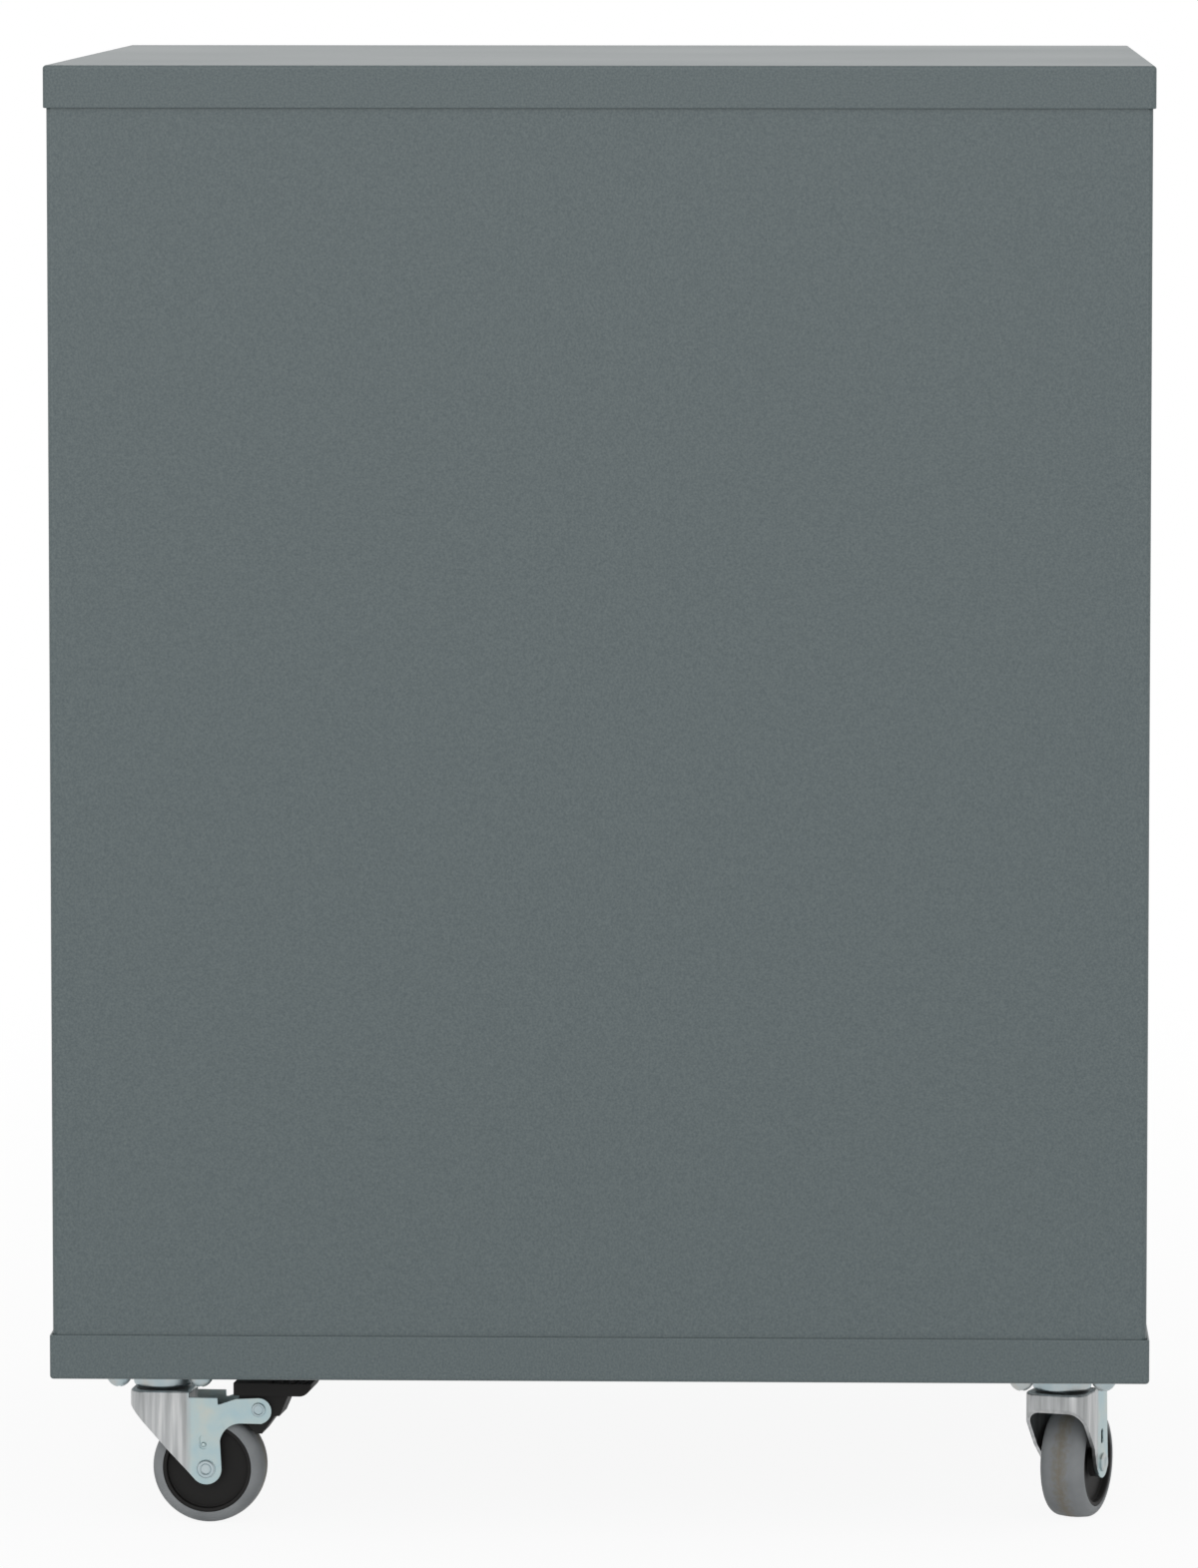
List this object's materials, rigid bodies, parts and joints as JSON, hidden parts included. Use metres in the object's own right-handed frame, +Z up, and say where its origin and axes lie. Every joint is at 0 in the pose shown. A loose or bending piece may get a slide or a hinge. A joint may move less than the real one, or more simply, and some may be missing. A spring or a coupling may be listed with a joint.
{
  "type": "filing cabinet",
  "caption": "Low steel filing cabinet on swivel casters, with flush pull-out file drawers, a front lock and pedal brakes.",
  "frame": {"origin": "on the floor, under the centre of the cabinet", "axes": "+Z up, the drawers open towards -Y, +X to the right of someone facing the drawers"},
  "size_m": [0.47, 0.48, 0.642],
  "materials": {
    "painted_steel": "satin",
    "zinc_steel": "satin",
    "lock_chrome": "polished",
    "black_plastic": "matte",
    "grey_tyre": "matte"
  },
  "bodies": {
    "cabinet": {"base_tray": "painted_steel", "body_shell": "painted_steel", "caster_king_pins": "zinc_steel", "caster_nuts": "zinc_steel", "caster_screws": "zinc_steel", "front_left_plate": "zinc_steel", "front_left_upright": "painted_steel", "front_right_plate": "zinc_steel", "front_right_upright": "painted_steel", "lock_barrel": "lock_chrome", "lower_left_runner_outer": "zinc_steel", "lower_right_runner_outer": "zinc_steel", "middle_rail": "painted_steel", "rear_left_plate": "zinc_steel", "rear_left_upright": "painted_steel", "rear_right_plate": "zinc_steel", "rear_right_upright": "painted_steel", "top_cap": "painted_steel", "top_rail": "painted_steel", "upper_left_runner_outer": "zinc_steel", "upper_right_runner_outer": "zinc_steel"},
    "upper_drawer": {"upper_drawer_front": "painted_steel", "upper_drawer_box": "painted_steel", "upper_pull": "painted_steel", "upper_hanging_rails": "zinc_steel", "upper_left_runner_inner": "zinc_steel", "upper_right_runner_inner": "zinc_steel"},
    "upper_runner": {"upper_left_runner_middle": "zinc_steel", "upper_right_runner_middle": "zinc_steel"},
    "lower_drawer": {"lower_drawer_front": "painted_steel", "lower_drawer_box": "painted_steel", "lower_pull": "painted_steel", "lower_hanging_rails": "zinc_steel", "lower_left_runner_inner": "zinc_steel", "lower_right_runner_inner": "zinc_steel"},
    "lower_runner": {"lower_left_runner_middle": "zinc_steel", "lower_right_runner_middle": "zinc_steel"},
    "lock": {"lock_plug": "lock_chrome", "lock_cam": "zinc_steel"},
    "lock_bar": {"lock_bar": "zinc_steel"},
    "front_left_wheel": {"front_left_hub": "black_plastic", "front_left_tyre": "grey_tyre"},
    "front_left_brake": {"front_left_pedal": "black_plastic"},
    "front_left_swivel": {"front_left_fork": "zinc_steel", "front_left_axle": "zinc_steel", "front_left_pedal_pin": "zinc_steel"},
    "front_right_wheel": {"front_right_hub": "black_plastic", "front_right_tyre": "grey_tyre"},
    "front_right_brake": {"front_right_pedal": "black_plastic"},
    "front_right_swivel": {"front_right_fork": "zinc_steel", "front_right_axle": "zinc_steel", "front_right_pedal_pin": "zinc_steel"},
    "rear_left_wheel": {"rear_left_hub": "black_plastic", "rear_left_tyre": "grey_tyre"},
    "rear_left_swivel": {"rear_left_fork": "zinc_steel", "rear_left_axle": "zinc_steel"},
    "rear_right_wheel": {"rear_right_hub": "black_plastic", "rear_right_tyre": "grey_tyre"},
    "rear_right_swivel": {"rear_right_fork": "zinc_steel", "rear_right_axle": "zinc_steel"}
  },
  "joints": [
    {"name": "upper_drawer_slide", "type": "slide", "parent": "cabinet", "child": "upper_drawer", "axis": [0, -1, 0], "range_m": [0, 0.37]},
    {"name": "upper_runner_slide", "type": "slide", "parent": "cabinet", "child": "upper_runner", "axis": [0, -1, 0], "range_m": [0, 0.185]},
    {"name": "lower_drawer_slide", "type": "slide", "parent": "cabinet", "child": "lower_drawer", "axis": [0, -1, 0], "range_m": [0, 0.37]},
    {"name": "lower_runner_slide", "type": "slide", "parent": "cabinet", "child": "lower_runner", "axis": [0, -1, 0], "range_m": [0, 0.185]},
    {"name": "lock_turn", "type": "hinge", "parent": "cabinet", "child": "lock", "pos_m": [0.1882, -0.2387, 0.6095], "axis": [0, -1, 0], "range_deg": [0, 90]},
    {"name": "lock_bar_lift", "type": "slide", "parent": "cabinet", "child": "lock_bar", "axis": [0, 0, 1], "range_m": [0, 0.01415]},
    {"name": "front_left_swivel", "type": "hinge", "parent": "cabinet", "child": "front_left_swivel", "pos_m": [-0.193, -0.1935, 0.0596], "axis": [0, 0, 1], "continuous": true},
    {"name": "front_left_roll", "type": "hinge", "parent": "front_left_swivel", "child": "front_left_wheel", "pos_m": [-0.18314, -0.17496, 0.025], "axis": [-0.8829, 0.4695, 0], "continuous": true},
    {"name": "front_left_brake_press", "type": "hinge", "parent": "front_left_swivel", "child": "front_left_brake", "pos_m": [-0.17211, -0.15421, 0.0518], "axis": [-0.8829, 0.4695, 0], "range_deg": [0, 14]},
    {"name": "front_right_swivel", "type": "hinge", "parent": "cabinet", "child": "front_right_swivel", "pos_m": [0.193, -0.1935, 0.0596], "axis": [0, 0, 1], "continuous": true},
    {"name": "front_right_roll", "type": "hinge", "parent": "front_right_swivel", "child": "front_right_wheel", "pos_m": [0.19501, -0.1726, 0.025], "axis": [-0.9954, 0.0958, 0], "continuous": true},
    {"name": "front_right_brake_press", "type": "hinge", "parent": "front_right_swivel", "child": "front_right_brake", "pos_m": [0.19726, -0.14921, 0.0518], "axis": [-0.9954, 0.0958, 0], "range_deg": [0, 14]},
    {"name": "rear_left_swivel", "type": "hinge", "parent": "cabinet", "child": "rear_left_swivel", "pos_m": [-0.193, 0.2028, 0.0596], "axis": [0, 0, 1], "continuous": true},
    {"name": "rear_left_roll", "type": "hinge", "parent": "rear_left_swivel", "child": "rear_left_wheel", "pos_m": [-0.17382, 0.21134, 0.025], "axis": [-0.4067, 0.9135, 0], "continuous": true},
    {"name": "rear_right_swivel", "type": "hinge", "parent": "cabinet", "child": "rear_right_swivel", "pos_m": [0.193, 0.2028, 0.0596], "axis": [0, 0, 1], "continuous": true},
    {"name": "rear_right_roll", "type": "hinge", "parent": "rear_right_swivel", "child": "rear_right_wheel", "pos_m": [0.1732, 0.20981, 0.025], "axis": [-0.3338, -0.9426, 0], "continuous": true}
  ],
  "couplings": [
    {"joint": "upper_runner_slide", "follows": "upper_drawer_slide", "ratio": 0.5},
    {"joint": "lower_runner_slide", "follows": "lower_drawer_slide", "ratio": 0.5},
    {"joint": "lock_bar_lift", "follows": "lock_turn", "m_per_rad": 0.0090032}
  ]
}
